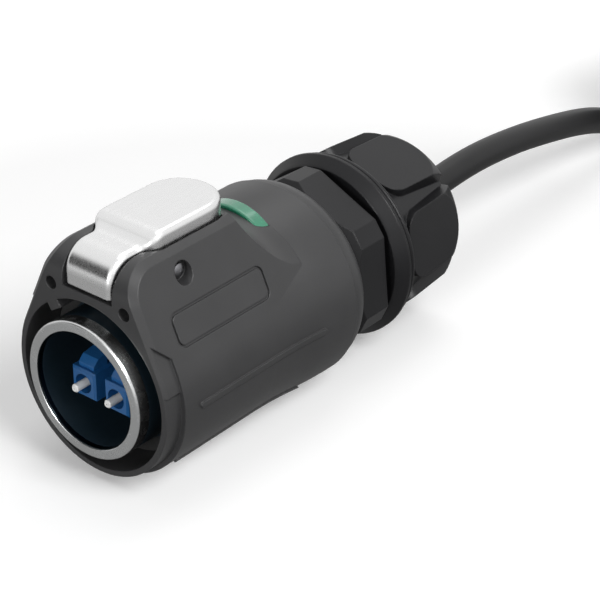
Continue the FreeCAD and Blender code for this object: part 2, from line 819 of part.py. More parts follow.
def lc_holder():
    wide_end = rod(BARREL_TAIL_R - FIXED_FIT, BARREL_END, HOLDER_END)
    plug = rod(HOLDER_R, HOLDER_FRONT, HOLDER_END).fuse(wide_end)
    nose = LC_NOSE / 2 + LOOSE_FIT
    noses = lc_room(nose, nose, HOLDER_FRONT - PAST, LC_BODY_FRONT + PAST)
    width = LC_BODY_WIDTH / 2 + LOOSE_FIT
    height = LC_BODY_HEIGHT / 2 + LOOSE_FIT
    bodies = lc_room(width, height, LC_BODY_FRONT, HOLDER_END + PAST)
    return plug.removeSplitter().cut(noses + bodies)


def holder_cover():
    disc = rod(BARREL_TAIL_R - FIXED_FIT, HOLDER_END, COVER_END)
    start = HOLDER_END - PAST
    end = COVER_END + PAST
    hole_r = LC_BORE_R + FIXED_FIT
    return disc.cut([rod(hole_r, start, end, x, LC_AXIS_HEIGHT) for x in LC_CENTRES.values()])


def lc_housing(x):
    """Plug housing with its moulded latch arm, a mouth round the ferrule and a bore for the spring."""
    half = LC_NOSE / 2
    low = LC_AXIS_HEIGHT - half
    top = LC_AXIS_HEIGHT + half
    nose = block(x - half, x + half, LC_FACE, LC_BODY_FRONT + PAST, low, top)
    rims = [edge for edge in nose.Edges if edge.BoundBox.YMax < LC_FACE + SAME]
    nose = nose.makeChamfer(LC_NOSE_EDGE, rims)
    width = LC_BODY_WIDTH / 2
    height = LC_BODY_HEIGHT / 2
    bottom = LC_AXIS_HEIGHT - height
    body = block(x - width, x + width, LC_BODY_FRONT, LC_BODY_END, bottom, LC_AXIS_HEIGHT + height)
    arm_at = LC_FACE + ARM_START
    arm_top = top + ARM_HEIGHT
    arm_end = arm_at + ARM_LENGTH
    arm = side_plate(
        [
            point(0, arm_at, top - ARM_WALL),
            point(0, arm_at, arm_top - ARM_WALL),
            point(0, arm_at + ARM_WALL, arm_top),
            point(0, arm_end, arm_top + ARM_LIFT),
            point(0, arm_end, arm_top + ARM_LIFT - ARM_WALL),
            point(0, arm_at + ARM_ROOT, arm_top - ARM_WALL),
            point(0, arm_at + ARM_ROOT, top - ARM_WALL),
        ],
        ARM_WIDTH / 2,
    )
    arm.translate(point(x, 0, 0))
    mouth = rod(LC_MOUTH_R, LC_FACE - PAST, LC_WEB_FRONT, x, LC_AXIS_HEIGHT)
    eye = rod(FERRULE_R + RUNNING_FIT, LC_WEB_FRONT - PAST, LC_WEB_BACK + PAST, x, LC_AXIS_HEIGHT)
    bore = rod(LC_BORE_R, LC_WEB_BACK, LC_BODY_END + PAST, x, LC_AXIS_HEIGHT)
    return nose.fuse([body, arm]).removeSplitter().cut([mouth, eye, bore])


def on_lc_axis(shape, x):
    shape.translate(point(x, 0, LC_AXIS_HEIGHT))
    return shape


def ferrule(x):
    end = FLANGE_AT + FERRULE_HOLD
    steps = [
        (0, FERRULE_TIP),
        (FERRULE_R - FERRULE_EDGE, FERRULE_TIP),
        (FERRULE_R, FERRULE_TIP + FERRULE_EDGE),
        (FERRULE_R, end),
        (0, end),
    ]
    return on_lc_axis(turned(profile(steps)), x)


def ferrule_flange(x):
    hold_end = FLANGE_AT + FERRULE_HOLD + FIXED_FIT
    hold_r = FERRULE_R + FIXED_FIT
    bore_r = FIBRE_R + LOOSE_FIT
    steps = [
        (hold_r, FLANGE_AT),
        (FLANGE_R, FLANGE_AT),
        (FLANGE_R, FLANGE_BACK),
        (bore_r, FLANGE_BACK),
        (bore_r, hold_end),
        (hold_r, hold_end),
    ]
    return on_lc_axis(turned(profile(steps)), x)


def ferrule_spring(x):
    height = FERRULE_SPRING_LENGTH - 2 * FIXED_FIT
    place = point(x, FLANGE_BACK + FIXED_FIT, LC_AXIS_HEIGHT)
    return coil_spring(
        FERRULE_SPRING_R, FERRULE_SPRING_WIRE_R, height, FERRULE_SPRING_TURNS, place, point(0, 1, 0)
    )


def lc_backpost(x):
    bore_r = FIBRE_R + LOOSE_FIT
    tail_end = COVER_END + BACKPOST_TAIL
    post_r = LC_BORE_R - RUNNING_FIT
    steps = [
        (bore_r, BACKPOST_AT),
        (post_r, BACKPOST_AT),
        (post_r, COVER_END),
        (BACKPOST_TAIL_R, COVER_END),
        (BACKPOST_TAIL_R, tail_end),
        (bore_r, tail_end),
    ]
    return on_lc_axis(turned(profile(steps)), x)


def lc_boot(x):
    bore_r = FIBRE_R + LOOSE_FIT
    hold_r = BACKPOST_TAIL_R + FIXED_FIT
    hold_end = COVER_END + BACKPOST_TAIL + LOOSE_FIT
    steps = [
        (hold_r, BOOT_AT),
        (BOOT_R, BOOT_AT),
        (BOOT_R, hold_end),
        (BOOT_END_R, BOOT_END),
        (bore_r, BOOT_END),
        (bore_r, hold_end),
        (hold_r, hold_end),
    ]
    return on_lc_axis(turned(profile(steps)), x)


def fibre(x):
    """Buffered fibre from the ferrule's back, through the boot, into the front of the cable."""
    side = math.copysign(FIBRE_OFFSET, x)
    corners = [
        point(x, FIBRE_START, LC_AXIS_HEIGHT),
        point(x, BOOT_END + FIBRE_LEAD / 2, LC_AXIS_HEIGHT),
        point(side, STUB_FRONT - FIBRE_LEAD / 2, 0),
        point(side, STUB_FRONT, 0),
    ]
    return swept(tangent_path(corners, [FIBRE_BEND_R, FIBRE_BEND_R]), corners, FIBRE_R)


def edges_on_skin(solid, skin):
    """Outline edges of a lever whose side view has the given line as its outer skin."""
    found = []
    for edge in solid.Edges:
        middle = edge.valueAt((edge.FirstParameter + edge.LastParameter) / 2)
        off_skin = Part.Vertex(0, middle.y, middle.z).distToShape(skin)[0]
        straight_across = edge.BoundBox.YLength < SAME and edge.BoundBox.ZLength < SAME
        if off_skin < SAME and not straight_across:
            found.append(edge)
    return found


def latch():
    """Lever: a bent tongue with a tooth, a raised thumb pad with skirts, and a pivot boss."""
    front = LATCH_FRONT
    bend_y = front + TONGUE_BEND_R
    bend_z = TONGUE_TOP - TONGUE_BEND_R
    inner_r = TONGUE_BEND_R - TONGUE_WALL
    inner_top = TONGUE_TOP - TONGUE_WALL
    outer_mid = math.sqrt(0.5) * TONGUE_BEND_R
    inner_mid = math.sqrt(0.5) * inner_r
    rise = front + SHOULDER_START
    skin = [
        point(0, front, TONGUE_BOTTOM),
        point(0, front, bend_z),
        (point(0, bend_y - outer_mid, bend_z + outer_mid), point(0, bend_y, TONGUE_TOP)),
        point(0, rise, TONGUE_TOP),
    ]
    for middle, last in s_curve((TONGUE_TOP, rise), (PAD_TOP, rise + PAD_RISE)):
        skin.append((point(0, middle[1], middle[0]), point(0, last[1], last[0])))
    skin.append(point(0, LATCH_END + PAST, PAD_TOP))
    steps = skin + [
        point(0, LATCH_END + PAST, PAD_BOTTOM),
        point(0, PIVOT_Y, PAD_BOTTOM),
        point(0, PIVOT_Y, inner_top),
        point(0, bend_y, inner_top),
        (point(0, bend_y - inner_mid, bend_z + inner_mid), point(0, front + TONGUE_WALL, bend_z)),
        point(0, front + TONGUE_WALL, TONGUE_BOTTOM),
    ]
    lever = side_plate(steps, BIG)
    outline = latch_plan(0, 0, front - PAST).extrude(point(0, 0, BIG))
    lever = lever.common(outline)
    upper = edges_on_skin(lever, Part.Wire(chain(skin)))
    lever = lever.makeFillet(PAD_EDGE, upper)
    boss = side_plate(
        [
            point(0, PIVOT_Y - BOSS_R, PAD_BOTTOM + PAD_EDGE),
            point(0, PIVOT_Y - BOSS_R, PIVOT_HEIGHT),
            (point(0, PIVOT_Y, PIVOT_HEIGHT - BOSS_R), point(0, PIVOT_Y + BOSS_R, PIVOT_HEIGHT)),
            point(0, PIVOT_Y + BOSS_R, PAD_BOTTOM + PAD_EDGE),
        ],
        BIG,
    ).common(outline)
    tooth_at = front + TOOTH_BACK
    tooth_end = tooth_at + TOOTH_LENGTH
    ramp = TOOTH_LENGTH / 2
    tooth = side_plate(
        [
            point(0, tooth_at, inner_top),
            point(0, tooth_at, TOOTH_TIP + ramp),
            point(0, tooth_at + ramp, TOOTH_TIP),
            point(0, tooth_end, TOOTH_TIP),
            point(0, tooth_end, inner_top + TONGUE_WALL / 2),
        ],
        TOOTH_HALF,
    )
    pocket_half = PAD_HALF - PAD_POCKET_WALL
    pocket_front = PIVOT_Y + BOSS_R + PAD_POCKET_WALL
    pocket_back = LATCH_END - PAD_HALF
    pocket_roof = PAD_TOP - PAD_PLATE
    pocket = block(-pocket_half, pocket_half, pocket_front, pocket_back, PAD_BOTTOM - PAST, pocket_roof)
    eye = cross_rod(PIN_R + RUNNING_FIT, BIG, PIVOT_Y, PIVOT_HEIGHT)
    return lever.fuse([boss, tooth]).removeSplitter().cut([pocket, eye])


def latch_pin():
    dome = crown_arc((-PIN_HALF, 0), (PIN_DOME - PIN_HALF, PIN_R))
    back_dome = crown_arc((PIN_HALF, 0), (PIN_HALF - PIN_DOME, PIN_R))
    middle = back_dome[0][0]
    steps = [(0, -PIN_HALF)] + profile_swapped(dome)
    steps += [(PIN_R, PIN_HALF - PIN_DOME), ((middle[1], middle[0]), (0, PIN_HALF))]
    pin = turned(profile(steps))
    pin.rotate(point(0, 0, 0), point(0, 0, 1), -90)
    pin.translate(point(0, PIVOT_Y, PIVOT_HEIGHT))
    return pin


def latch_spring():
    height = PAD_TOP - PAD_PLATE - CHANNEL_FLOOR - 2 * FIXED_FIT
    place = point(0, SHELL_FRONT + SPRING_BACK, CHANNEL_FLOOR + FIXED_FIT)
    return coil_spring(SPRING_R, SPRING_WIRE_R, height, SPRING_TURNS, place, point(0, 0, 1))


def sided_prism(sides, flat, start, end, turn):
    """Prism about the axis with its flats at the given distance, the first one facing the turn angle."""
    corner_r = flat / math.cos(math.pi / sides)
    corners = [polar(corner_r, turn + (index + 0.5) * 360 / sides) for index in range(sides)]
    prism = face_of(corners).extrude(point(0, end - start, 0))
    prism.translate(point(0, start, 0))
    return prism


def gland_body():
    """Spigot into the shell, collar with a seal groove, hexagon and the nut's spigot."""
    outer = turned(
        profile(
            [
                (GLAND_HOLE_R, CAVITY_END),
                (THREAD_R - FIXED_FIT, CAVITY_END),
                (THREAD_R - FIXED_FIT, SHELL_END),
                (GLAND_COLLAR_R, SHELL_END),
                (GLAND_COLLAR_R, HEX_FRONT),
                (SPIGOT_R, HEX_FRONT),
                (SPIGOT_R, SPIGOT_END),
                (SPIGOT_BORE_R, SPIGOT_END),
                (SPIGOT_BORE_R, GLAND_SEAT),
                (GLAND_HOLE_R, GLAND_SEAT),
            ]
        )
    )
    flats = sided_prism(HEX_SIDES, HEX_FLAT, HEX_FRONT, HEX_BACK, HEX_TURN + 180 / HEX_SIDES)
    corners = sided_prism(HEX_SIDES, HEX_CORNER, HEX_FRONT, HEX_BACK, HEX_TURN)
    half_corner = math.pi / HEX_SIDES
    corner_side = (HEX_FLAT - HEX_CORNER * math.cos(half_corner)) / math.sin(half_corner)
    tip_r = math.hypot(HEX_CORNER, corner_side)
    bevel_end = HEX_FRONT + HEX_BEVEL
    bevelled = turned(
        profile(
            [
                (SPIGOT_BORE_R, HEX_FRONT),
                (HEX_FLAT, HEX_FRONT),
                (tip_r, bevel_end),
                (tip_r, HEX_BACK),
                (SPIGOT_BORE_R, HEX_BACK),
            ]
        )
    )
    hexagon = flats.common(corners).common(bevelled)
    floor = tube(SPIGOT_R, GLAND_HOLE_R, HEX_FRONT, GLAND_SEAT)
    room = O_RING_WIRE_R + FIXED_FIT
    groove = tube(O_RING_R + room, O_RING_R - room, SHELL_END - PAST, SHELL_END + 2 * room)
    return outer.fuse([hexagon, floor]).removeSplitter().cut(groove)


def gland_o_ring():
    centre = point(0, SHELL_END + O_RING_WIRE_R + FIXED_FIT, 0)
    return Part.makeTorus(O_RING_R, O_RING_WIRE_R, centre, point(0, 1, 0))


def clamp_claw():
    """Cage of bent fingers round the cable seal."""
    tip_bore_r = CLAW_TIP_R - CLAW_WALL
    cage = turned(
        profile(
            [
                (CLAW_BORE_R, GLAND_SEAT),
                (CLAW_R, GLAND_SEAT),
                (CLAW_R, CLAW_BEND),
                (CLAW_TIP_R, CLAW_END),
                (tip_bore_r, CLAW_END),
                (CLAW_BORE_R, CLAW_BEND),
            ]
        )
    )
    slit = block(0, BIG, CLAW_BEND - CLAW_REACH / 2, CLAW_END + PAST, -CLAW_SLIT / 2, CLAW_SLIT / 2)
    slits = [about_axis(slit, index * 360 / CLAW_SLITS) for index in range(CLAW_SLITS)]
    return cage.cut(slits)


def cable_seal():
    bore_r = CABLE_R + FIXED_FIT
    end = CLAW_END - SEAL_PULL
    tip_r = CLAW_TIP_R - CLAW_WALL - FIXED_FIT
    steps = [
        (bore_r, GLAND_SEAT),
        (CLAW_BORE_R - FIXED_FIT, GLAND_SEAT),
        (CLAW_BORE_R - FIXED_FIT, CLAW_BEND - FIXED_FIT),
        (tip_r, end),
        (bore_r, end),
    ]
    return turned(profile(steps))


def slip_washer():
    return tube(NUT_CONE_R - LOOSE_FIT, NUT_HOLE_R, NUT_SHOULDER - WASHER, NUT_SHOULDER - FIXED_FIT)


def nut_bore():
    """Outline of the nut's bore, from its rear face to its front."""
    return [
        (NUT_HOLE_R, NUT_END),
        (NUT_HOLE_R, NUT_SHOULDER),
        (NUT_CONE_R, NUT_SHOULDER),
        (NUT_BORE_R, NUT_CONE_FRONT),
    ]


def nut_pad():
    """One flat pad on the nut's domed barrel, leaning in to the rear, with round front corners."""
    face_r = math.sqrt(NUT_BARREL_R**2 - NUT_DOME**2)
    dome_turn = math.asin(NUT_DOME / NUT_BARREL_R) / 2
    dome_mid = (NUT_BARREL_R * math.cos(dome_turn), DOME_AT + NUT_BARREL_R * math.sin(dome_turn))
    front = RIM_BACK + NUT_PAD_START
    barrel = turned(
        profile(
            [
                (NUT_BORE_R, front),
                (NUT_BARREL_R, front),
                (NUT_BARREL_R, DOME_AT),
                (dome_mid, (face_r, NUT_FACE)),
                (NUT_HOLE_R, NUT_FACE),
                *nut_bore()[1:],
            ]
        )
    )
    half = NUT_PAD_HALF
    corner = NUT_PAD_CORNER
    part_way = corner * (1 - math.cos(math.pi / 4))
    outline = [
        point(0, front + corner, -half),
        point(0, NUT_END, -half),
        point(0, NUT_END, half),
        point(0, front + corner, half),
        (point(0, front + part_way, half - part_way), point(0, front, half - corner)),
        point(0, front, corner - half),
        (point(0, front + part_way, part_way - half), point(0, front + corner, -half)),
    ]
    flat_end_r = NUT_FLAT - (NUT_END - RIM_BACK) * math.tan(math.radians(NUT_TILT))
    lean = face_of(profile([(0, RIM_BACK), (NUT_FLAT, RIM_BACK), (flat_end_r, NUT_END), (0, NUT_END)]))
    under_flat = lean.extrude(point(0, 0, 2 * BIG))
    under_flat.translate(point(0, 0, -BIG))
    return barrel.common(face_of(outline).extrude(point(BIG, 0, 0))).common(under_flat)


def gland_nut():
    """Nut with a bevelled rim, a bead behind it and six pads round a waist that narrows to the rear."""
    edge = NUT_RIM_EDGE
    bead_front = RIM_BACK + NUT_BEAD_GAP
    bead_back = bead_front + NUT_BEAD
    bead_root_r = NUT_RIM_R - 2 * NUT_BEAD_RISE
    core = turned(
        profile(
            [
                (NUT_BORE_R, NUT_FRONT),
                (NUT_LIP_R - edge, NUT_FRONT),
                (NUT_LIP_R, NUT_FRONT + edge),
                (NUT_RIM_R, RIM_FRONT),
                (NUT_RIM_R, RIM_BACK - edge),
                (NUT_RIM_R - edge, RIM_BACK),
                (bead_root_r, RIM_BACK),
                (bead_root_r, bead_front),
                ((bead_root_r + NUT_BEAD_RISE, (bead_front + bead_back) / 2), (bead_root_r, bead_back)),
                (NUT_WAIST_R, bead_back),
                (NUT_VALLEY_R, NUT_FACE),
                (NUT_COLLAR_R, NUT_FACE),
                (NUT_COLLAR_R, NUT_END),
                *nut_bore(),
            ]
        )
    )
    pad = nut_pad()
    turns = [NUT_TURN + side * 360 / NUT_SIDES for side in range(NUT_SIDES)]
    return core.fuse([about_axis(pad, turn) for turn in turns]).removeSplitter()


def cable_stub():
    return rod(CABLE_R, STUB_FRONT, STUB_END)


def cable():
    corners = [point(*corner) for corner in CABLE_ROUTE]
    radii = largest_radii(corners)
    path = tangent_path(corners, radii)
    print("cable bend radii", [round(radius, 1) for radius in radii], "length", round(path.Length, 1))
    solid = swept(path, corners, CABLE_R)
    full = math.pi * CABLE_R**2 * path.Length
    print("cable volume", round(solid.Volume, 1), "section times length", round(full, 1))
    return solid


def on_floor(z):
    """Height above the axis of a point at height z above the floor."""
    return z - AXIS_HEIGHT


def racetrack(radius, low, high):
    """Upright block between the given heights, with straight runs and round folds of the given radius."""
    run = block(HANK_X - radius, HANK_X + radius, HANK_Y, HANK_FAR, on_floor(low), on_floor(high))
    folds = [
        Part.makeCylinder(radius, high - low, point(HANK_X, y, on_floor(low)), point(0, 0, 1))
        for y in (HANK_Y, HANK_FAR)
    ]
    return run.fuse(folds).removeSplitter()


def cable_hank():
    """Turns laid on each other, the top one open over the near fold and where the tail lies."""
    turns = racetrack(HANK_OUTER_R, TIE, HANK_TOP).cut(racetrack(HANK_INNER_R, TIE - PAST, HANK_TOP + PAST))
    low = on_floor(HANK_LEDGE)
    high = on_floor(HANK_TOP + PAST)
    open_fold = block(HANK_X - BIG, HANK_X + BIG, HANK_Y - BIG, HANK_Y, low, high)
    open_run = block(HANK_X, HANK_X + BIG, HANK_Y - PAST, HANK_FAR, low, high)
    return turns.cut([open_fold, open_run])


def hank_tie():
    """Strap round both runs of the hank and the tail."""
    front = HANK_Y + TIE_AT - TIE_WIDTH / 2
    back = front + TIE_WIDTH
    left = HANK_X - HANK_OUTER_R
    right = HANK_X + HANK_OUTER_R
    top = TAIL_HEIGHT + CABLE_R
    around = block(left - TIE, right + TIE, front, back, on_floor(0), on_floor(top + TIE))
    return around.cut(block(left, right, front - PAST, back + PAST, on_floor(TIE), on_floor(top)))


def cable_tail():
    """The cable's last stretch, straight off the hank's top turn into the end cap."""
    return rod(CABLE_R, HANK_FAR - TAIL_LENGTH, HANK_FAR, TAIL_X, on_floor(TAIL_HEIGHT))


def cable_end_cap():
    front = HANK_FAR - TAIL_LENGTH + CAP_HOLD
    back = front - CAP_LENGTH
    hold_r = CABLE_R + FIXED_FIT
    hold_end = front - CAP_HOLD - FIXED_FIT
    steps = [
        (hold_r, front),
        (CAP_R - CAP_EDGE / 2, front),
        (CAP_R, front - CAP_EDGE),
        (CAP_R, back + CAP_EDGE),
        (CAP_R - CAP_EDGE, back),
        (0, back),
        (0, hold_end),
        (hold_r, hold_end),
    ]
    cap = turned(profile(steps))
    cap.translate(point(TAIL_X, 0, on_floor(TAIL_HEIGHT)))
    return cap


def pieces():
    """Every piece by its name."""
    made = {
        "shell": shell(),
        "lock_mark": lock_mark(),
        "front_ring": front_ring(),
        "front_barrel": front_barrel(),
        "face_seal": face_seal(),
        "barrel_lock_ring": barrel_lock_ring(),
        "lc_holder": lc_holder(),
        "holder_cover": holder_cover(),
        "latch": latch(),
        "latch_pin": latch_pin(),
        "latch_spring": latch_spring(),
        "gland_body": gland_body(),
        "gland_o_ring": gland_o_ring(),
        "clamp_claw": clamp_claw(),
        "cable_seal": cable_seal(),
        "slip_washer": slip_washer(),
        "gland_nut": gland_nut(),
        "cable_stub": cable_stub(),
        "cable": cable(),
        "cable_hank": cable_hank(),
        "hank_tie": hank_tie(),
        "cable_tail": cable_tail(),
        "cable_end_cap": cable_end_cap(),
    }
    makers = (lc_housing, ferrule, ferrule_flange, ferrule_spring, lc_backpost, lc_boot, fibre)
    for side, x in LC_CENTRES.items():
        for maker in makers:
            made[maker.__name__ + "_" + side] = maker(x)
    return made


os.makedirs("parts", exist_ok=True)
for name, solid in pieces().items():
    solid.translate(point(0, -LENGTH / 2, AXIS_HEIGHT))
    print(name, len(solid.Solids), "solid, valid", solid.isValid(), "volume", round(solid.Volume, 1))
    solid.exportStep(os.path.join("parts", name + ".step"))
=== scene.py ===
# Waterproof fibre connector lying on a white table, latch up, with its cable put away in a hank.
# Lengths are in metres in the row frame: X to the right seen from the mouth, Y back towards the
# cable, Z up from the table.

import json
import math

import bmesh
import bpy
from mathutils import Matrix, Vector


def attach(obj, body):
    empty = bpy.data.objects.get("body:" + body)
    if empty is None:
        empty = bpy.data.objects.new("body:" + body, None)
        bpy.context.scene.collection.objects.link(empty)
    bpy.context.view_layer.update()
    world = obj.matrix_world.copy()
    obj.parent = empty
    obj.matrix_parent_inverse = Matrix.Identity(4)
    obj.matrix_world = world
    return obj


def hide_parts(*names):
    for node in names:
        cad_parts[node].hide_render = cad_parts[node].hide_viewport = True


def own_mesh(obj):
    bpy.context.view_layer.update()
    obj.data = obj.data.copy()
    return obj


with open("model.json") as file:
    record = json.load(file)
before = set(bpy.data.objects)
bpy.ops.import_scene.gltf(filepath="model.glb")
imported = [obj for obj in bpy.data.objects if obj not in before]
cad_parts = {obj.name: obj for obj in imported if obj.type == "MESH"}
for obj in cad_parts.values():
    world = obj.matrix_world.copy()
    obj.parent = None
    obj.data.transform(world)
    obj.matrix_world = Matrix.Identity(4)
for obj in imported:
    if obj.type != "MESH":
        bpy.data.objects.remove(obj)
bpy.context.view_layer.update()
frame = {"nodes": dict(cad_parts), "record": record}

MM = 0.001

# The connector's axis and the stations that finishes refer to
CONNECTOR_LENGTH = 71.8 * MM
RING_Y = -CONNECTOR_LENGTH / 2
AXIS_Z = 15.7 * MM
PLUG_PITCH = 6.25 * MM
PLUG_DROP = 1.56 * MM
RING_BORE_R = 8.83 * MM

# The photograph's camera: its place, its angles, and its lens and sensor width in mm
CAMERA_AT = (170.7 * MM, -196.9 * MM, 165.4 * MM)
CAMERA_AZIMUTH = math.radians(39.4)
CAMERA_ELEVATION = math.radians(30.13)
CAMERA_ROLL = math.radians(0.22)
CAMERA_LENS = 121.15
CAMERA_SENSOR = 36.0

# The cable: its route from the gland, as X, Y behind the ring's face and Z above the axis, in mm
CABLE_DIAMETER = 4.8 * MM
CABLE_ROUTE_MM = (
    (0.0, 70.2, 0.0),
    (0.0, 79.5, 0.0),
    (0.0, 90.5, 0.8),
    (0.0, 102.0, 0.0),
    (0.0, 114.0, -1.9),
    (0.2, 127.5, -4.7),
    (0.0, 137.5, -8.6),
    (-2.0, 147.5, -12.0),
    (-4.0, 157.5, -12.7),
    (-4.4, 167.5, -12.7),
)
CABLE_FACETS = 6
CABLE_STEPS = 8

# The hank: its turns lie on each other and each climbs to the next in the near fold
HANK_X = 10.0 * MM
HANK_NEAR_Y = 124.1 * MM
HANK_FAR_Y = 169.1 * MM
HANK_FOLD_R = 14.4 * MM
HANK_FIRST_Z = 3.0 * MM
HANK_FULL_TURNS = 4
FOLD_POINTS = 12
CLIMB_SHARE = 0.75
TAIL_Z = 22.8 * MM
TAIL_POINTS_Y = (162.0 * MM, 154.0 * MM, 141.1 * MM)


def row(x, y, z):
    """A point given in mm from the ring's face and the axis, in the row frame."""
    return Vector((x * MM, y * MM + RING_Y, z * MM + AXIS_Z))


def smooth(share):
    """A share from 0 to 1 that starts and ends gently."""
    share = min(max(share, 0.0), 1.0)
    return share * share * (3 - 2 * share)


def add_object(name, data):
    item = bpy.data.objects.new(name, data)
    bpy.context.collection.objects.link(item)
    return item


def add_camera():
    data = bpy.data.cameras.new("photo_camera")
    data.sensor_width = CAMERA_SENSOR
    data.lens = CAMERA_LENS
    camera = add_object("photo_camera", data)
    flat = math.cos(CAMERA_ELEVATION)
    back = Vector(
        (math.sin(CAMERA_AZIMUTH) * flat, -math.cos(CAMERA_AZIMUTH) * flat, math.sin(CAMERA_ELEVATION))
    )
    level = Vector((math.cos(CAMERA_AZIMUTH), math.sin(CAMERA_AZIMUTH), 0))
    right = level * math.cos(CAMERA_ROLL) + back.cross(level) * math.sin(CAMERA_ROLL)
    turned = Matrix((right, back.cross(right), back)).transposed().to_4x4()
    camera.matrix_world = Matrix.Translation(CAMERA_AT) @ turned
    bpy.context.scene.camera = camera


def fold_points(middle_y, start, low, high):
    """Control points of half a turn clockwise from the given angle, climbing from low to high."""
    step = 180 / FOLD_POINTS
    reach = HANK_FOLD_R / math.cos(math.radians(step / 2))
    points = []
    for index in range(FOLD_POINTS):
        angle = math.radians(start - step * (index + 0.5))
        x = HANK_X + reach * math.cos(angle)
        y = middle_y + reach * math.sin(angle)
        z = low + (high - low) * smooth(index / (FOLD_POINTS - 1) / CLIMB_SHARE)
        points.append(Vector((x, y, z)))
    return points


def cable_points():
    """The cable's control points: out of the gland, round the hank's turns and along its tail."""
    points = [row(*place) for place in CABLE_ROUTE_MM]
    height = HANK_FIRST_Z
    for _ in range(HANK_FULL_TURNS):
        points += fold_points(HANK_FAR_Y, 180, height, height)
        points += fold_points(HANK_NEAR_Y, 0, height, height + CABLE_DIAMETER)
        height += CABLE_DIAMETER
    points += fold_points(HANK_FAR_Y, 180, height, height)
    points += [Vector((HANK_X + HANK_FOLD_R, y, TAIL_Z)) for y in TAIL_POINTS_Y]
    return points


def add_cable():
    """A smooth round bar along the cable's control points."""
    points = cable_points()
    data = bpy.data.curves.new("cable_run", "CURVE")
    data.dimensions = "3D"
    data.bevel_depth = 1.0
    data.bevel_resolution = CABLE_FACETS
    data.resolution_u = CABLE_STEPS
    data.use_fill_caps = True
    spline = data.splines.new("NURBS")
    spline.points.add(len(points) - 1)
    for control, place in zip(spline.points, points):
        control.co = (*place, 1.0)
        control.radius = CABLE_DIAMETER / 2
    spline.order_u = 3
    spline.use_endpoint_u = True
    return add_object("cable_run", data)


add_camera()
cable = add_cable()


class Value:
    """A number or colour that varies over a surface; arithmetic on it adds Math nodes."""

    def __init__(self, nodes, node, output):
        self.nodes = nodes
        self.node = node
        self.output = output

    def link_to(self, socket):
        self.nodes.tree.links.new(self.node.outputs[self.output], socket)

    def at(self, output):
        """Another output of the same node."""
        return Value(self.nodes, self.node, output)

    def __add__(self, other):
        return self.nodes.math("ADD", self, other)

    def __radd__(self, other):
        return self.nodes.math("ADD", other, self)

    def __sub__(self, other):
        return self.nodes.math("SUBTRACT", self, other)

    def __rsub__(self, other):
        return self.nodes.math("SUBTRACT", other, self)

    def __mul__(self, other):
        return self.nodes.math("MULTIPLY", self, other)

    def __rmul__(self, other):
        return self.nodes.math("MULTIPLY", other, self)

    def __truediv__(self, other):
        return self.nodes.math("DIVIDE", self, other)

    def __rtruediv__(self, other):
        return self.nodes.math("DIVIDE", other, self)

    def __lt__(self, other):
        return self.nodes.math("LESS_THAN", self, other)

    def __gt__(self, other):
        return self.nodes.math("GREATER_THAN", self, other)


# A Mix node's sockets for colours, by number
MIX_FACTOR = 0
MIX_FIRST = 6
MIX_SECOND = 7
MIX_RESULT = 2

EDGE_SAMPLES = 6


class Nodes:
    """A node tree under construction."""

    def __init__(self, tree):
        self.tree = tree
        tree.nodes.clear()

    def add(self, kind, settings=None, inputs=None, output=0):
        """One node: its settings first, then the values or links of its sockets by name or number."""
        node = self.tree.nodes.new(kind)
        for name, setting in (settings or {}).items():
            setattr(node, name, setting)
        for name, given in (inputs or {}).items():
            if isinstance(given, Value):
                given.link_to(node.inputs[name])
            else:
                node.inputs[name].default_value = given
        return Value(self, node, output)

    def math(self, operation, *operands):
        return self.add("ShaderNodeMath", {"operation": operation}, dict(enumerate(operands)))

    def clamped(self, value):
        """A value kept between 0 and 1."""
        return self.math("MINIMUM", self.math("MAXIMUM", value, 0.0), 1.0)

    def place(self):
        return self.add("ShaderNodeTexCoord", output="Object")

    def along(self):
        """X, Y and Z of the place, as three values."""
        parts = self.add("ShaderNodeSeparateXYZ", {}, {"Vector": self.place()})
        return parts.at("X"), parts.at("Y"), parts.at("Z")

    def noise(self, size, detail=2.0, roughness=0.5, place=None):
        """Noise from 0 to 1 whose blobs are about the given size."""
        inputs = {
            "Vector": place or self.place(),
            "Scale": 1 / size,
            "Detail": detail,
            "Roughness": roughness,
        }
        return self.add("ShaderNodeTexNoise", {}, inputs)

    def blend(self, share, first, second):
        """A colour between two, mixed by share; each is three numbers or varies over the surface."""
        ends = [colour if isinstance(colour, Value) else (*colour, 1.0) for colour in (first, second)]
        inputs = {MIX_FACTOR: share, MIX_FIRST: ends[0], MIX_SECOND: ends[1]}
        return self.add("ShaderNodeMix", {"data_type": "RGBA"}, inputs, output=MIX_RESULT)

    def soft_edges(self, radius):
        """The surface's normal with its sharp edges rounded off."""
        return self.add("ShaderNodeBevel", {"samples": EDGE_SAMPLES}, {"Radius": radius})

    def bump(self, height, depth, strength, edge=0.0):
        """The surface's normal with a pattern raised on it, and soft edges where they have a radius."""
        inputs = {"Height": height, "Distance": depth, "Strength": strength}
        if edge:
            inputs["Normal"] = self.soft_edges(edge)
        return self.add("ShaderNodeBump", {}, inputs)


def make_finish(name, paint):
    """A material whose Principled inputs come from paint(nodes)."""
    material = bpy.data.materials.new(name)
    material.use_nodes = True
    nodes = Nodes(material.node_tree)
    shader = nodes.add("ShaderNodeBsdfPrincipled", {}, paint(nodes))
    nodes.add("ShaderNodeOutputMaterial", {}, {"Surface": shader})
    return material


def mixed(share, first, second):
    """Two patterns in one, the first with the given share."""
    return share * first + (1 - share) * second


def stray(pattern, span):
    """A pattern from 0 to 1 as a shift to either side, over the given span."""
    return span * (pattern - 0.5)


def shaded(colour, factor, lift=0.0):
    """A colour made deeper or paler by a factor, then lifted."""
    return tuple(factor * part + lift for part in colour)


CLOUD_SIZE = 6 * MM
MOULDED_COAT_ROUGHNESS = 0.08


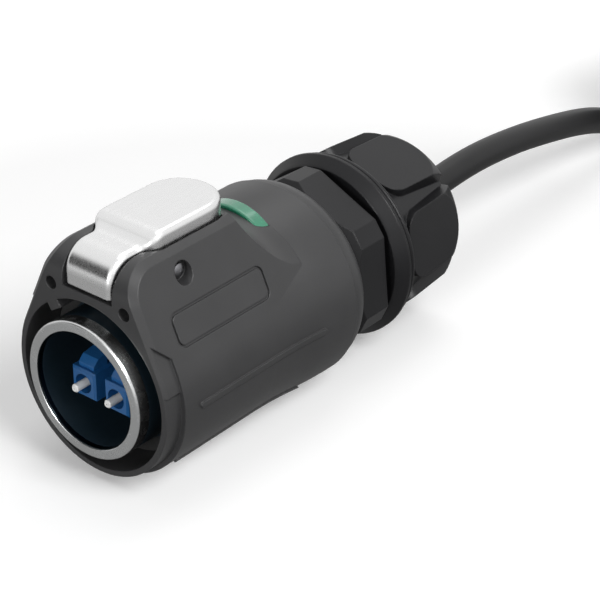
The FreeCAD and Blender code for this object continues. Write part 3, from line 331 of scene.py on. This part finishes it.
def moulded(colour, roughness, grain, depth, coat=0.0, edge=0.0, shine=0.5):
    """Moulded plastic or rubber: a fine even grain, slightly cloudy in colour and gloss."""

    def paint(nodes):
        grit = nodes.noise(grain, detail=3.0, roughness=0.6)
        cloud = nodes.noise(CLOUD_SIZE)
        deep = shaded(colour, 0.82)
        pale = shaded(colour, 1.25, lift=0.003)
        return {
            "Base Color": nodes.blend(mixed(0.35, grit, cloud), deep, pale),
            "Roughness": roughness + stray(cloud, 0.10) + stray(grit, 0.08),
            "Normal": nodes.bump(grit, depth, strength=0.6, edge=edge),
            "Coat Weight": coat,
            "Coat Roughness": MOULDED_COAT_ROUGHNESS,
            "Specular IOR Level": shine,
        }

    return paint


PEEL_SIZE = 1.6 * MM
CAST_GRAIN = 0.16 * MM
CAST_DEPTH = 0.005 * MM
CAST_EDGE = 0.25 * MM
RUB_SIZE = 1.2 * MM
RUB_SQUEEZE = (4.0, 0.35, 4.0)


def cast_plate(colour, roughness):
    """Satin plate on a casting: soft orange peel, fine grain and faint rubbing along the length."""

    def paint(nodes):
        peel = nodes.noise(PEEL_SIZE)
        grain = nodes.noise(CAST_GRAIN, detail=3.0, roughness=0.65)
        lengthwise = nodes.add("ShaderNodeMapping", {}, {"Vector": nodes.place(), "Scale": RUB_SQUEEZE})
        rub = nodes.noise(RUB_SIZE, detail=3.0, place=lengthwise)
        return {
            "Base Color": nodes.blend(mixed(0.5, rub, grain), shaded(colour, 0.93), colour),
            "Metallic": 1.0,
            "Roughness": roughness + stray(rub, 0.10) + stray(grain, 0.06),
            "Normal": nodes.bump(mixed(0.8, peel, grain), CAST_DEPTH, strength=0.7, edge=CAST_EDGE),
        }

    return paint


# Painted shade inside the ring's bore: its colour, and how far past the bore's radius it reaches
BORE_PAINTED_SHADE = (0.020, 0.026, 0.030)
BORE_SHADE_MARGIN = 0.12 * MM
WAVER_SIZE = 0.8 * MM
WAVER_TURN = 3.0
WORN_SIZE = 2.5 * MM


def turned_metal(colour, roughness, pitch, depth, shade_within=0.0):
    """Metal turned about the connector's axis: fine rings on every face, and painted shade within the given
    radius, which darkens a bore.
    """

    def paint(nodes):
        x, y, z = nodes.along()
        up = z - AXIS_Z
        radius = nodes.math("SQRT", x * x + up * up)
        waver = nodes.noise(WAVER_SIZE)
        lines = nodes.math("SINE", (radius + y) * (2 * math.pi / pitch) + WAVER_TURN * waver)
        worn = nodes.noise(WORN_SIZE, detail=3.0)
        bright = nodes.blend(worn, shaded(colour, 0.9), colour)
        return {
            # Within the given radius the colour is painted shade, standing for the dark depth of the bore
            "Base Color": nodes.blend(radius < shade_within, bright, BORE_PAINTED_SHADE) if shade_within else bright,
            "Metallic": 1.0,
            "Roughness": roughness + stray(worn, 0.12) + 0.03 * lines,
            "Normal": nodes.bump(lines, depth, strength=0.5),
        }

    return paint


CERAMIC_DEEP = (0.88, 0.88, 0.87)
CERAMIC_PALE = (0.95, 0.95, 0.94)
CERAMIC_DEPTH = 0.003 * MM
MILK_SIZE = 0.7 * MM
FIBRE_CORE_R = 0.07 * MM
FIBRE_DARK = (0.05, 0.05, 0.06)


def ferrule_ceramic(nodes):
    """Polished zirconia with the fibre's dark core in the middle of its end."""
    x, _, z = nodes.along()
    aside = nodes.math("ABSOLUTE", x) - PLUG_PITCH / 2
    up = z - (AXIS_Z - PLUG_DROP)
    core = aside * aside + up * up < FIBRE_CORE_R**2
    milk = nodes.noise(MILK_SIZE)
    white = nodes.blend(milk, CERAMIC_DEEP, CERAMIC_PALE)
    return {
        "Base Color": nodes.blend(core, white, FIBRE_DARK),
        "Roughness": 0.16 + 0.08 * milk,
        "Normal": nodes.bump(milk, CERAMIC_DEPTH, strength=0.4),
        "Coat Weight": 0.4,
        "Coat Roughness": 0.05,
    }


MARK_DEEP = (0.006, 0.16, 0.080)
MARK_PALE = (0.014, 0.25, 0.135)
MARK_CLOUD = 1.5 * MM
MARK_GRIT = 0.15 * MM
MARK_DEPTH = 0.004 * MM
MARK_EDGE = 0.30 * MM


def mark_plastic(nodes):
    """Glossy green moulding, slightly cloudy in colour."""
    cloud = nodes.noise(MARK_CLOUD)
    grit = nodes.noise(MARK_GRIT)
    return {
        "Base Color": nodes.blend(cloud, MARK_DEEP, MARK_PALE),
        "Roughness": 0.22 + 0.08 * cloud,
        "Normal": nodes.bump(grit, MARK_DEPTH, strength=0.5, edge=MARK_EDGE),
        "Coat Weight": 1.0,
        "Coat Roughness": 0.06,
    }


JACKET_DEEP = (0.010, 0.010, 0.010)
JACKET_PALE = (0.020, 0.020, 0.021)
JACKET_GRIT = 0.18 * MM
JACKET_DEPTH = 0.010 * MM
JACKET_CLOUD = 3.5 * MM


def cable_plastic(nodes):
    """Extruded jacket: satin, slightly cloudy, with a fine even grain."""
    grit = nodes.noise(JACKET_GRIT, detail=3.0, roughness=0.6)
    cloud = nodes.noise(JACKET_CLOUD)
    return {
        "Base Color": nodes.blend(mixed(0.5, grit, cloud), JACKET_DEEP, JACKET_PALE),
        "Roughness": 0.42 + stray(cloud, 0.12) + stray(grit, 0.08),
        "Normal": nodes.bump(grit, JACKET_DEPTH, strength=0.6),
        "Specular IOR Level": 0.28,
    }


STRAP_DEEP = (0.012, 0.012, 0.013)
STRAP_PALE = (0.045, 0.045, 0.047)
STRAP_DEPTH = 0.08 * MM
YARN_PITCH = 0.9 * MM
WARP_LEAN = 0.4
WEFT_LEAN = 0.6
FUZZ_SIZE = 0.12 * MM


def woven_strap(nodes):
    """Woven tie: a plain weave of two crossing yarns."""
    x, y, z = nodes.along()
    turn = 2 * math.pi / YARN_PITCH
    warp = nodes.math("SINE", (x + WARP_LEAN * z) * turn)
    weft = nodes.math("SINE", (y + WEFT_LEAN * z) * turn)
    weave = 0.5 + 0.5 * (warp * weft)
    fuzz = nodes.noise(FUZZ_SIZE, detail=3.0, roughness=0.7)
    return {
        "Base Color": nodes.blend(mixed(0.6, weave, fuzz), STRAP_DEEP, STRAP_PALE),
        "Roughness": 0.75 + stray(fuzz, 0.15),
        "Normal": nodes.bump(mixed(0.7, weave, fuzz), STRAP_DEPTH, strength=0.8),
    }


# The finish of each material slot in the record
FINISHES = {
    "shell_black": moulded(
        (0.033, 0.033, 0.034), roughness=0.40, grain=0.22 * MM, depth=0.010 * MM, edge=0.25 * MM, shine=0.42
    ),
    "barrel_black": moulded(
        (0.006, 0.014, 0.021), roughness=0.46, grain=0.30 * MM, depth=0.004 * MM, shine=0.30
    ),
    "gland_black": moulded(
        (0.008, 0.008, 0.009), roughness=0.36, grain=0.26 * MM, depth=0.012 * MM, edge=0.30 * MM, shine=0.26
    ),
    "holder_black": moulded((0.010, 0.015, 0.020), roughness=0.50, grain=0.25 * MM, depth=0.008 * MM),
    "claw_grey": moulded((0.25, 0.25, 0.26), roughness=0.50, grain=0.25 * MM, depth=0.010 * MM),
    "mark_green": mark_plastic,
    # The ring gets painted shade over its bore, out to just past the bore's radius
    "ring_nickel": turned_metal(
        (0.70, 0.71, 0.71), roughness=0.24, pitch=0.11 * MM, depth=0.004 * MM, shade_within=RING_BORE_R + BORE_SHADE_MARGIN
    ),
    "latch_nickel": cast_plate((0.80, 0.80, 0.80), roughness=0.27),
    # The pin's steel is made dark to paint the shade of the recessed hole it sits in
    "pin_steel": turned_metal((0.20, 0.20, 0.21), roughness=0.36, pitch=0.10 * MM, depth=0.004 * MM),
    "spring_steel": turned_metal((0.56, 0.56, 0.56), roughness=0.28, pitch=0.20 * MM, depth=0.003 * MM),
    "turned_brass": turned_metal((0.72, 0.54, 0.26), roughness=0.28, pitch=0.12 * MM, depth=0.004 * MM),
    "plug_blue": moulded(
        (0.015, 0.110, 0.310), roughness=0.32, grain=0.20 * MM, depth=0.005 * MM, coat=0.20
    ),
    "ferrule_white": ferrule_ceramic,
    "boot_white": moulded((0.72, 0.72, 0.70), roughness=0.50, grain=0.25 * MM, depth=0.010 * MM),
    "fibre_white": moulded((0.76, 0.74, 0.67), roughness=0.45, grain=0.15 * MM, depth=0.006 * MM),
    "seal_rubber": moulded((0.016, 0.016, 0.016), roughness=0.62, grain=0.20 * MM, depth=0.012 * MM),
    "cable_jacket": cable_plastic,
    "tie_black": woven_strap,
    "cap_rubber": moulded((0.018, 0.018, 0.019), roughness=0.55, grain=0.30 * MM, depth=0.015 * MM),
}
STITCH_THREAD = moulded((0.085, 0.085, 0.088), roughness=0.60, grain=0.10 * MM, depth=0.020 * MM)

materials = {name: make_finish(name, paint) for name, paint in FINISHES.items()}
for part in frame["record"]["subparts"]:
    for material_slot in frame["nodes"][part["node"]].material_slots:
        material_slot.material = materials[part["material_slot"]]
cable.data.materials.append(materials["cable_jacket"])


# How near two points of a spring's mesh count as one
SAME_PLACE = 0.0005 * MM


def add_spring(node):
    """A smoothed copy of a spring's coil, attached to the root in place of the part, which is hidden."""
    mesh = frame["nodes"][node].data.copy()
    wire = bmesh.new()
    wire.from_mesh(mesh)
    bmesh.ops.remove_doubles(wire, verts=wire.verts, dist=SAME_PLACE)
    wire.to_mesh(mesh)
    wire.free()
    mesh.shade_smooth()
    piece = add_object(node + "_coil", mesh)
    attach(piece, "root")
    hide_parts(node)
    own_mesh(piece)


for movement in frame["record"]["behaviour"]["joints"]:
    for spring in movement.get("deforming_nodes", ()):
        add_spring(spring["node"])


# Stitching along both edges of the hank's tie, over its top and down its sides
TIE_Y = 159.1 * MM
STITCH_SIZES = {
    "Half width": 17.4 * MM,
    "Top": 25.8 * MM,
    "Row gap": 5.2 * MM,
    "Pitch": 2.1 * MM,
    "Stitch": 1.45 * MM,
    "Thread": 0.30 * MM,
}
BEAD = {"Segments": 10, "Rings": 6, "Radius": 0.5}


def stitch_tree(material):
    """Two rows of stitches over the top and down the sides of a strap across the origin."""
    tree = bpy.data.node_groups.new("tie_stitches", "GeometryNodeTree")
    for name in STITCH_SIZES:
        tree.interface.new_socket(name, in_out="INPUT", socket_type="NodeSocketFloat")
    tree.interface.new_socket("Stitches", in_out="OUTPUT", socket_type="NodeSocketGeometry")
    nodes = Nodes(tree)
    given = nodes.add("NodeGroupInput")
    half, top, row_gap, pitch, stitch, thread = (given.at(name) for name in STITCH_SIZES)

    def spot(x, y, z):
        return nodes.add("ShaderNodeCombineXYZ", {}, {"X": x, "Y": y, "Z": z})

    bead = nodes.add("GeometryNodeMeshUVSphere", {}, BEAD)
    rows = nodes.add("GeometryNodeJoinGeometry")
    for side in (-0.5, 0.5):
        y = side * row_gap
        lying = spot(stitch, thread, thread)
        standing = spot(thread, thread, stitch)
        runs = (
            (spot(pitch - half, y, top), spot(half - pitch, y, top), 2 * (half - pitch), lying),
            (spot(0 - half, y, pitch), spot(0 - half, y, top - pitch), top - 2 * pitch, standing),
            (spot(half, y, pitch), spot(half, y, top - pitch), top - 2 * pitch, standing),
        )
        for start, end, length, size in runs:
            ends = {"Count": 1 + length / pitch, "Start Location": start, "Offset": end}
            line = nodes.add("GeometryNodeMeshLine", {"mode": "END_POINTS"}, ends)
            placed = {"Points": line, "Instance": bead, "Scale": size}
            nodes.add("GeometryNodeInstanceOnPoints", {}, placed).link_to(rows.node.inputs["Geometry"])
    real = nodes.add("GeometryNodeRealizeInstances", {}, {"Geometry": rows})
    painted = nodes.add("GeometryNodeSetMaterial", {}, {"Geometry": real, "Material": material})
    nodes.add("NodeGroupOutput", {}, {"Stitches": painted})
    return tree


def add_stitches():
    piece = add_object("tie_stitches", bpy.data.meshes.new("tie_stitches"))
    tree = stitch_tree(make_finish("tie_thread", STITCH_THREAD))
    modifier = piece.modifiers.new("stitches", "NODES")
    modifier.node_group = tree
    for socket in tree.interface.items_tree:
        if socket.in_out == "INPUT":
            modifier[socket.identifier] = STITCH_SIZES[socket.name]
    sewn = piece.evaluated_get(bpy.context.evaluated_depsgraph_get())
    piece.data = bpy.data.meshes.new_from_object(sewn)
    piece.modifiers.remove(modifier)
    piece.data.transform(Matrix.Translation((HANK_X, TIE_Y, 0.0)))
    return piece


stitches = add_stitches()
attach(stitches, "root")
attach(cable, "root")
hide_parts("cable", "cable_hank", "cable_tail")


# The table: its colour as the camera sees it and as it lights the object, its own glow near the
# object, how much of that glow shows in reflections, and from where and over what distance the
# glow grows to white
TABLE_HALF = 3.0
TABLE_WHITE = (0.80, 0.80, 0.80)
TABLE_BOUNCE = (0.20, 0.20, 0.20)
TABLE_GLOW = 0.24
TABLE_MIRRORED = 0.65
WHITE_FROM = 0.085
WHITE_OVER = 0.16

# The sky: its strength as a light, and its dim side with the cosine where that starts and how
# fast it grows
SKY_FILL = 0.22
SKY_WHITE = (1.0, 1.0, 1.0)
SKY_DIM = (0.03, 0.03, 0.03)
DIM_SIDE = Vector((-0.62, -0.77, 0.16)).normalized()
DIM_FROM = 0.86
DIM_GROWTH = 12.0

# Lamps: name, place, the point they face, width in metres and power in watts
MIDDLE = (0.0, 0.0, AXIS_Z)
MOUTH = (0.0, RING_Y, AXIS_Z)
LAMPS = (
    ("top_softbox", (-0.10, 0.25, 0.65), MIDDLE, 0.50, 1.08),
    ("right_fill", (0.50, -0.06, 0.52), MIDDLE, 0.40, 4.0),
    ("mouth_light", (0.10, -0.45, 0.13), MOUTH, 0.12, 0.95),
)


def seen_directly(nodes, mirrored=1.0):
    """1 for what the camera sees straight, and the given share in reflections and through glass."""
    path = nodes.add("ShaderNodeLightPath")
    bounced = nodes.math("MAXIMUM", path.at("Is Glossy Ray"), path.at("Is Transmission Ray"))
    return nodes.math("MAXIMUM", path.at("Is Camera Ray"), mirrored * bounced)


def add_table():
    mesh = bpy.data.meshes.new("table")
    h = TABLE_HALF
    mesh.from_pydata([(-h, -h, 0), (h, -h, 0), (h, h, 0), (-h, h, 0)], [], [(0, 1, 2, 3)])
    table = add_object("table", mesh)
    material = bpy.data.materials.new("table_white")
    material.use_nodes = True
    nodes = Nodes(material.node_tree)
    camera_ray = nodes.add("ShaderNodeLightPath", output="Is Camera Ray")
    colour = nodes.blend(camera_ray, TABLE_BOUNCE, TABLE_WHITE)
    matt = nodes.add("ShaderNodeBsdfDiffuse", {}, {"Color": colour})
    x, y, _ = nodes.along()
    away = nodes.math("SQRT", x * x + y * y)
    far = nodes.clamped((away - WHITE_FROM) / WHITE_OVER)
    strength = (TABLE_GLOW + (1 - TABLE_GLOW) * far) * seen_directly(nodes, TABLE_MIRRORED)
    glow = nodes.add("ShaderNodeEmission", {}, {"Strength": strength})
    both = nodes.add("ShaderNodeAddShader", {}, {0: matt, 1: glow})
    nodes.add("ShaderNodeOutputMaterial", {}, {"Surface": both})
    mesh.materials.append(material)


def add_sky():
    """White all round, with a dim side to the front left that gives the bright metal its dark band."""
    world = bpy.data.worlds.new("studio")
    bpy.context.scene.world = world
    world.use_nodes = True
    nodes = Nodes(world.node_tree)
    way = nodes.add("ShaderNodeTexCoord", output="Generated")
    ends = {0: way, 1: tuple(DIM_SIDE)}
    facing = nodes.add("ShaderNodeVectorMath", {"operation": "DOT_PRODUCT"}, ends, output="Value")
    camera_ray = nodes.add("ShaderNodeLightPath", output="Is Camera Ray")
    dim = nodes.clamped((facing - DIM_FROM) * DIM_GROWTH) * (1 - camera_ray)
    colour = nodes.blend(dim, SKY_WHITE, SKY_DIM)
    strength = SKY_FILL + (1 - SKY_FILL) * seen_directly(nodes)
    background = nodes.add("ShaderNodeBackground", {}, {"Color": colour, "Strength": strength})
    nodes.add("ShaderNodeOutputWorld", {}, {"Surface": background})


def add_lamp(name, place, aim, size, power):
    data = bpy.data.lights.new(name, "AREA")
    data.shape = "DISK"
    data.size = size
    data.energy = power
    lamp = add_object(name, data)
    lamp.location = place
    lamp.rotation_mode = "QUATERNION"
    lamp.rotation_quaternion = (Vector(aim) - Vector(place)).to_track_quat("-Z", "Y")


add_table()
add_sky()
for lamp in LAMPS:
    add_lamp(*lamp)

bpy.context.scene.view_settings.view_transform = "Standard"
